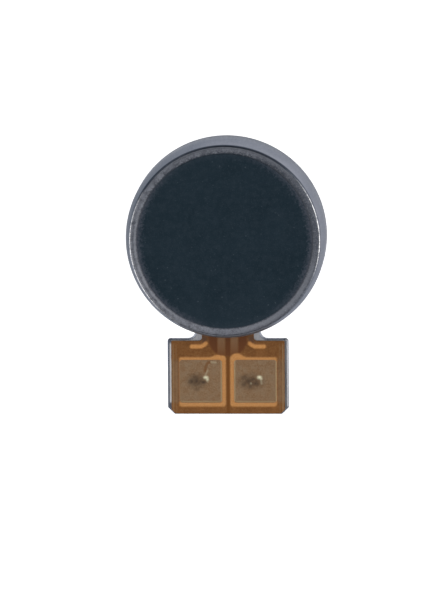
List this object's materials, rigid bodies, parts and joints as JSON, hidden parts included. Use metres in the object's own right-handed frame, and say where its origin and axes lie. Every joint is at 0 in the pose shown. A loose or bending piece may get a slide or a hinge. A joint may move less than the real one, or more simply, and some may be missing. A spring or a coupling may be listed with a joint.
{
  "type": "vibration coin motor",
  "caption": "Flat coin vibration motor: drawn steel can over an off-centre rotor, with flexible-circuit contact pads on a stiff tab beside it.",
  "frame": {"origin": "centre of the base plate's underside, on the spin axis", "axes": "+Z along the spin axis, from the base plate towards the closed face of the can; -Y from the spin axis towards the tab; X across the tab"},
  "size_m": [0.01, 0.0141, 0.003],
  "materials": {
    "drawn_steel": "satin, drawn",
    "stamped_steel": "satin, rolled",
    "dark_film": "satin, lightly speckled",
    "adhesive": "translucent glue line",
    "polyimide": "amber film",
    "coverlay": "semi-gloss brown film",
    "copper": "satin copper foil",
    "plated_pad": "dull gold flash, probe-marked",
    "magnet": "nickel-plated sintered magnet",
    "ground_steel": "ground and polished",
    "washer_plastic": "plain",
    "spring_alloy": "bright spring strip",
    "solder": "bright reflowed solder",
    "sintered_bronze": "oil-filled sintered bronze",
    "board": "glass-fibre board",
    "commutator_gold": "gold-plated",
    "magnet_wire": "enamelled wire, wound and bonded",
    "tungsten": "sintered heavy alloy",
    "moulding": "moulded resin"
  },
  "bodies": {
    "stator": {"case_cup": "drawn_steel", "face_film": "dark_film", "base_plate": "stamped_steel", "shaft": "ground_steel", "lower_washer": "washer_plastic", "upper_washer": "washer_plastic", "ring_magnet": "magnet", "circuit_adhesive": "adhesive", "circuit_base_film": "polyimide", "left_track": "copper", "right_track": "copper", "left_tear_bar": "copper", "right_tear_bar": "copper", "left_contact_pad": "plated_pad", "right_contact_pad": "plated_pad", "circuit_coverlay": "coverlay", "left_brush": "spring_alloy", "right_brush": "spring_alloy", "left_brush_solder": "solder", "right_brush_solder": "solder"},
    "rotor": {"bearing_bush": "sintered_bronze", "commutator_board": "board", "commutator_segment_1": "commutator_gold", "commutator_segment_2": "commutator_gold", "commutator_segment_3": "commutator_gold", "commutator_segment_4": "commutator_gold", "commutator_segment_5": "commutator_gold", "commutator_segment_6": "commutator_gold", "left_coil": "magnet_wire", "right_coil": "magnet_wire", "counterweight": "tungsten", "rotor_moulding": "moulding"}
  },
  "joints": [
    {"name": "rotor_spin", "type": "hinge", "parent": "stator", "child": "rotor", "pos_m": [0, 0, 0], "axis": [0, 0, 1], "continuous": true}
  ]
}
